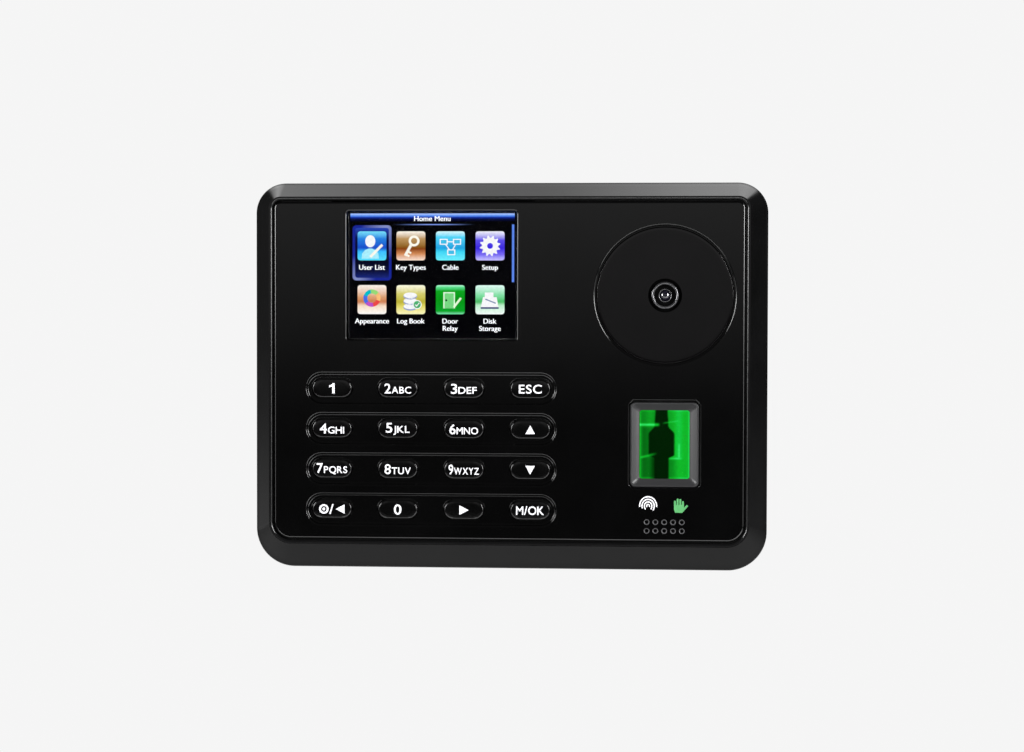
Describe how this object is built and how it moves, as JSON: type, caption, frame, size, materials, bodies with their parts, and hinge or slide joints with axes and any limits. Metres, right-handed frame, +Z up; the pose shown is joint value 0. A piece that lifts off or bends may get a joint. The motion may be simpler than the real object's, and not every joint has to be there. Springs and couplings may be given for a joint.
{
  "type": "fingerprint and palm time clock terminal",
  "caption": "Wall-mounted terminal with a colour display, a numeric keypad, a round palm camera and a fingerprint reader in a bevelled black housing.",
  "frame": {"origin": "centre of the back face, on the plane of the wall the terminal hangs on", "axes": "+Z up the wall, +Y into the wall, so the front faces -Y; +X to the right as seen from the front"},
  "size_m": [0.178, 0.04, 0.134],
  "materials": {
    "housing_plastic": "satin",
    "panel_gloss": "polished",
    "adhesive": "matte",
    "clear_window": "polished",
    "gasket": "matte",
    "lcd_glass": "polished",
    "sheet_steel": "brushed",
    "smoked_window": "polished",
    "lens_ring": "satin",
    "lens_glass": "polished",
    "black_plastic": "satin",
    "circuit_board": "solder mask",
    "infrared_lamp": "polished",
    "green_lamp": "polished",
    "bezel_grey": "satin",
    "prism_glass": "polished",
    "key_gloss": "polished",
    "mat_rubber": "matte",
    "speaker_cloth": "woven",
    "speaker_paper": "matte",
    "chip_black": "matte",
    "cell_steel": "brushed",
    "ribbon": "satin",
    "terminal_green": "satin",
    "spring_steel": "drawn wire",
    "plunger_white": "satin",
    "button_yellow": "satin"
  },
  "bodies": {
    "terminal": {"front_housing": "housing_plastic", "front_panel": "panel_gloss", "panel_adhesive": "adhesive", "display_window": "clear_window", "display_gasket": "gasket", "lcd_glass": "lcd_glass", "lcd_frame": "sheet_steel", "palm_window": "smoked_window", "palm_lens_ring": "lens_ring", "palm_lens": "lens_glass", "palm_lens_barrel": "black_plastic", "palm_camera_board": "circuit_board", "palm_led_board": "circuit_board", "palm_leds": "infrared_lamp", "palm_sensor_case": "black_plastic", "fingerprint_bezel": "bezel_grey", "fingerprint_prism": "prism_glass", "fingerprint_sensor_case": "black_plastic", "fingerprint_camera": "black_plastic", "fingerprint_leds": "green_lamp", "fingerprint_board": "circuit_board", "keypad_mat": "mat_rubber", "keypad_board": "circuit_board", "speaker_mesh": "speaker_cloth", "speaker_cone": "speaker_paper", "speaker_frame": "sheet_steel", "main_board": "circuit_board", "board_chips": "chip_black", "coin_cell": "cell_steel", "coin_cell_holder": "black_plastic", "flat_cables": "ribbon", "network_jack": "sheet_steel", "power_jack": "black_plastic", "terminal_block": "terminal_green", "usb_port": "sheet_steel", "rear_housing": "housing_plastic", "wall_plate": "sheet_steel", "housing_screws": "sheet_steel", "board_screws": "sheet_steel", "lock_screw": "sheet_steel", "tamper_spring": "spring_steel"},
    "key_1_cap": {"key_1": "key_gloss"},
    "key_2_cap": {"key_2": "key_gloss"},
    "key_3_cap": {"key_3": "key_gloss"},
    "key_esc_cap": {"key_esc": "key_gloss"},
    "key_4_cap": {"key_4": "key_gloss"},
    "key_5_cap": {"key_5": "key_gloss"},
    "key_6_cap": {"key_6": "key_gloss"},
    "key_up_cap": {"key_up": "key_gloss"},
    "key_7_cap": {"key_7": "key_gloss"},
    "key_8_cap": {"key_8": "key_gloss"},
    "key_9_cap": {"key_9": "key_gloss"},
    "key_down_cap": {"key_down": "key_gloss"},
    "key_left_cap": {"key_left": "key_gloss"},
    "key_0_cap": {"key_0": "key_gloss"},
    "key_right_cap": {"key_right": "key_gloss"},
    "key_ok_cap": {"key_ok": "key_gloss"},
    "tamper": {"tamper_plunger": "plunger_white"},
    "reset": {"reset_button": "button_yellow"}
  },
  "joints": [
    {"name": "key_1_press", "type": "slide", "parent": "terminal", "child": "key_1_cap", "axis": [0, 1, 0], "range_m": [0, 0.001], "stiffness_N_per_m": 1500, "springref_m": -0.0005, "deforming": ["keypad_mat"]},
    {"name": "key_2_press", "type": "slide", "parent": "terminal", "child": "key_2_cap", "axis": [0, 1, 0], "range_m": [0, 0.001], "stiffness_N_per_m": 1500, "springref_m": -0.0005, "deforming": ["keypad_mat"]},
    {"name": "key_3_press", "type": "slide", "parent": "terminal", "child": "key_3_cap", "axis": [0, 1, 0], "range_m": [0, 0.001], "stiffness_N_per_m": 1500, "springref_m": -0.0005, "deforming": ["keypad_mat"]},
    {"name": "key_esc_press", "type": "slide", "parent": "terminal", "child": "key_esc_cap", "axis": [0, 1, 0], "range_m": [0, 0.001], "stiffness_N_per_m": 1500, "springref_m": -0.0005, "deforming": ["keypad_mat"]},
    {"name": "key_4_press", "type": "slide", "parent": "terminal", "child": "key_4_cap", "axis": [0, 1, 0], "range_m": [0, 0.001], "stiffness_N_per_m": 1500, "springref_m": -0.0005, "deforming": ["keypad_mat"]},
    {"name": "key_5_press", "type": "slide", "parent": "terminal", "child": "key_5_cap", "axis": [0, 1, 0], "range_m": [0, 0.001], "stiffness_N_per_m": 1500, "springref_m": -0.0005, "deforming": ["keypad_mat"]},
    {"name": "key_6_press", "type": "slide", "parent": "terminal", "child": "key_6_cap", "axis": [0, 1, 0], "range_m": [0, 0.001], "stiffness_N_per_m": 1500, "springref_m": -0.0005, "deforming": ["keypad_mat"]},
    {"name": "key_up_press", "type": "slide", "parent": "terminal", "child": "key_up_cap", "axis": [0, 1, 0], "range_m": [0, 0.001], "stiffness_N_per_m": 1500, "springref_m": -0.0005, "deforming": ["keypad_mat"]},
    {"name": "key_7_press", "type": "slide", "parent": "terminal", "child": "key_7_cap", "axis": [0, 1, 0], "range_m": [0, 0.001], "stiffness_N_per_m": 1500, "springref_m": -0.0005, "deforming": ["keypad_mat"]},
    {"name": "key_8_press", "type": "slide", "parent": "terminal", "child": "key_8_cap", "axis": [0, 1, 0], "range_m": [0, 0.001], "stiffness_N_per_m": 1500, "springref_m": -0.0005, "deforming": ["keypad_mat"]},
    {"name": "key_9_press", "type": "slide", "parent": "terminal", "child": "key_9_cap", "axis": [0, 1, 0], "range_m": [0, 0.001], "stiffness_N_per_m": 1500, "springref_m": -0.0005, "deforming": ["keypad_mat"]},
    {"name": "key_down_press", "type": "slide", "parent": "terminal", "child": "key_down_cap", "axis": [0, 1, 0], "range_m": [0, 0.001], "stiffness_N_per_m": 1500, "springref_m": -0.0005, "deforming": ["keypad_mat"]},
    {"name": "key_left_press", "type": "slide", "parent": "terminal", "child": "key_left_cap", "axis": [0, 1, 0], "range_m": [0, 0.001], "stiffness_N_per_m": 1500, "springref_m": -0.0005, "deforming": ["keypad_mat"]},
    {"name": "key_0_press", "type": "slide", "parent": "terminal", "child": "key_0_cap", "axis": [0, 1, 0], "range_m": [0, 0.001], "stiffness_N_per_m": 1500, "springref_m": -0.0005, "deforming": ["keypad_mat"]},
    {"name": "key_right_press", "type": "slide", "parent": "terminal", "child": "key_right_cap", "axis": [0, 1, 0], "range_m": [0, 0.001], "stiffness_N_per_m": 1500, "springref_m": -0.0005, "deforming": ["keypad_mat"]},
    {"name": "key_ok_press", "type": "slide", "parent": "terminal", "child": "key_ok_cap", "axis": [0, 1, 0], "range_m": [0, 0.001], "stiffness_N_per_m": 1500, "springref_m": -0.0005, "deforming": ["keypad_mat"]},
    {"name": "tamper_release", "type": "slide", "parent": "terminal", "child": "tamper", "axis": [0, 1, 0], "range_m": [0, 0.002], "stiffness_N_per_m": 150, "springref_m": 0.003, "deforming": ["tamper_spring"]},
    {"name": "reset_press", "type": "slide", "parent": "terminal", "child": "reset", "axis": [0, -1, 0], "range_m": [0, 0.0003], "stiffness_N_per_m": 4000, "springref_m": -0.0002}
  ]
}
